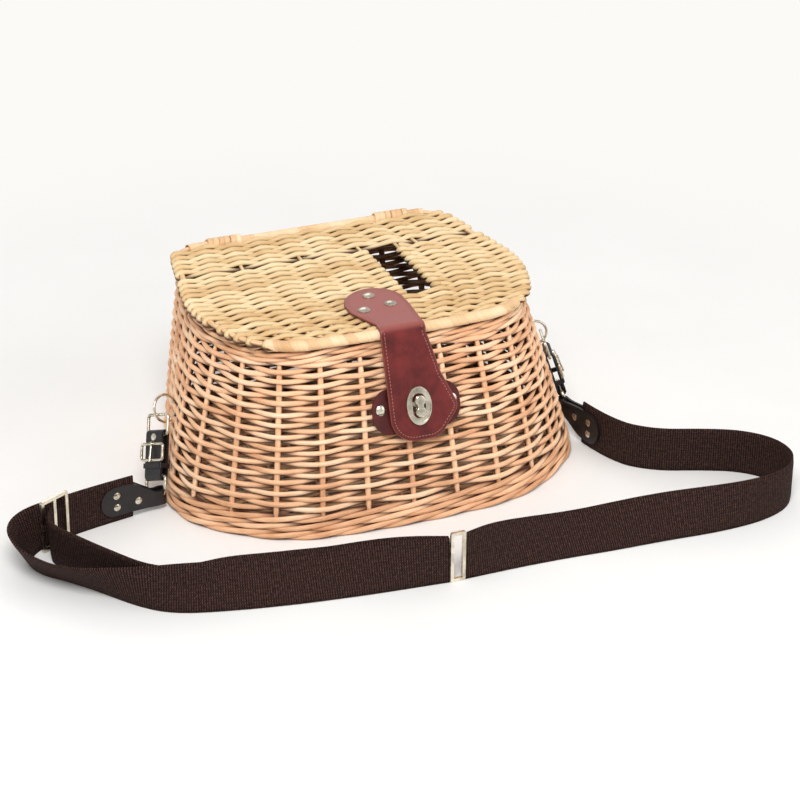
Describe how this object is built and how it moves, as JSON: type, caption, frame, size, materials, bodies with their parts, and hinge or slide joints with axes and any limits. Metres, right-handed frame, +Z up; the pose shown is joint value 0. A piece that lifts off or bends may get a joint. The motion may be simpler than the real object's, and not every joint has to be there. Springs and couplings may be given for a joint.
{
  "type": "wicker fishing creel",
  "caption": "Woven willow fishing creel with a hinged woven lid, a leather closure strap with a turn lock, and a webbing shoulder strap on buckled leather hangers.",
  "frame": {"origin": "on the ground, under the middle of the basket's own box (without the shoulder strap)", "axes": "+Z up, -Y towards the front with the closure strap, +X to the right seen from the front"},
  "size_m": [0.6142, 0.3521, 0.1641],
  "materials": {
    "willow_body": "peeled willow, satin",
    "willow_lid": "pale peeled willow, satin",
    "cane": "flat cane, satin",
    "leather_oxblood": "smooth, semi-gloss",
    "leather_black": "smooth, glossy",
    "webbing": "ribbed woven webbing",
    "metal": "polished nickel"
  },
  "bodies": {
    "basket": {"woven_wall": "willow_body", "woven_floor": "willow_body", "foot_border": "willow_body", "rim_border": "willow_body", "rim_border_back": "willow_body", "hinge_rod": "willow_body", "lock_patch": "leather_oxblood", "lock_patch_rivets": "metal", "lock_plate": "metal", "lock_backing": "metal", "side_ring_left": "metal", "side_ring_right": "metal", "hanger_link_left": "metal", "hanger_link_right": "metal", "hanger_strap_left": "leather_black", "hanger_strap_right": "leather_black", "hanger_buckle_left": "metal", "hanger_buckle_right": "metal", "hanger_keeper_left": "leather_black", "hanger_keeper_right": "leather_black", "hanger_rivet_left": "metal", "hanger_rivet_right": "metal", "strap_ring_left": "metal", "strap_ring_right": "metal", "strap_end_left": "leather_black", "strap_end_right": "leather_black", "strap_end_rivets_left": "metal", "strap_end_rivets_right": "metal", "webbing_left": "webbing", "webbing_return": "webbing", "webbing_right": "webbing", "strap_slider": "metal", "strap_buckle_ring": "metal"},
    "tongue_left": {"buckle_tongue_left": "metal"},
    "tongue_right": {"buckle_tongue_right": "metal"},
    "lock_knob": {"turn_knob": "metal"},
    "lid": {"lid_frame": "willow_lid", "lid_panel": "willow_lid", "slot_bar_left": "willow_lid", "slot_bar_right": "willow_lid", "hinge_loop_left": "cane", "hinge_loop_right": "cane", "closure_strap": "leather_oxblood", "closure_rivets": "metal", "closure_washers": "metal"},
    "flap": {"closure_flap": "leather_oxblood", "eyelet_plate": "metal", "eyelet_back": "metal"}
  },
  "joints": [
    {"name": "lid_hinge", "type": "hinge", "parent": "basket", "child": "lid", "pos_m": [0, 0.121, 0.145], "axis": [-1, 0, 0], "range_deg": [0, 110]},
    {"name": "flap_hinge", "type": "hinge", "parent": "lid", "child": "flap", "pos_m": [0, -0.09581, 0.15653], "axis": [-1, 0, 0], "range_deg": [0, 95]},
    {"name": "lock_turn", "type": "hinge", "parent": "basket", "child": "lock_knob", "pos_m": [0.0065, -0.10953, 0.0985], "axis": [0, -0.9622, 0.2723], "range_deg": [0, 90]},
    {"name": "tongue_left_hinge", "type": "hinge", "parent": "basket", "child": "tongue_left", "pos_m": [-0.1789, -0.00093, 0.04563], "axis": [-0.3992, 0.8372, -0.3738], "range_deg": [0, 100]},
    {"name": "tongue_right_hinge", "type": "hinge", "parent": "basket", "child": "tongue_right", "pos_m": [0.17604, -0.00727, 0.06202], "axis": [-0.2586, -0.9647, -0.0503], "range_deg": [0, 100]}
  ]
}
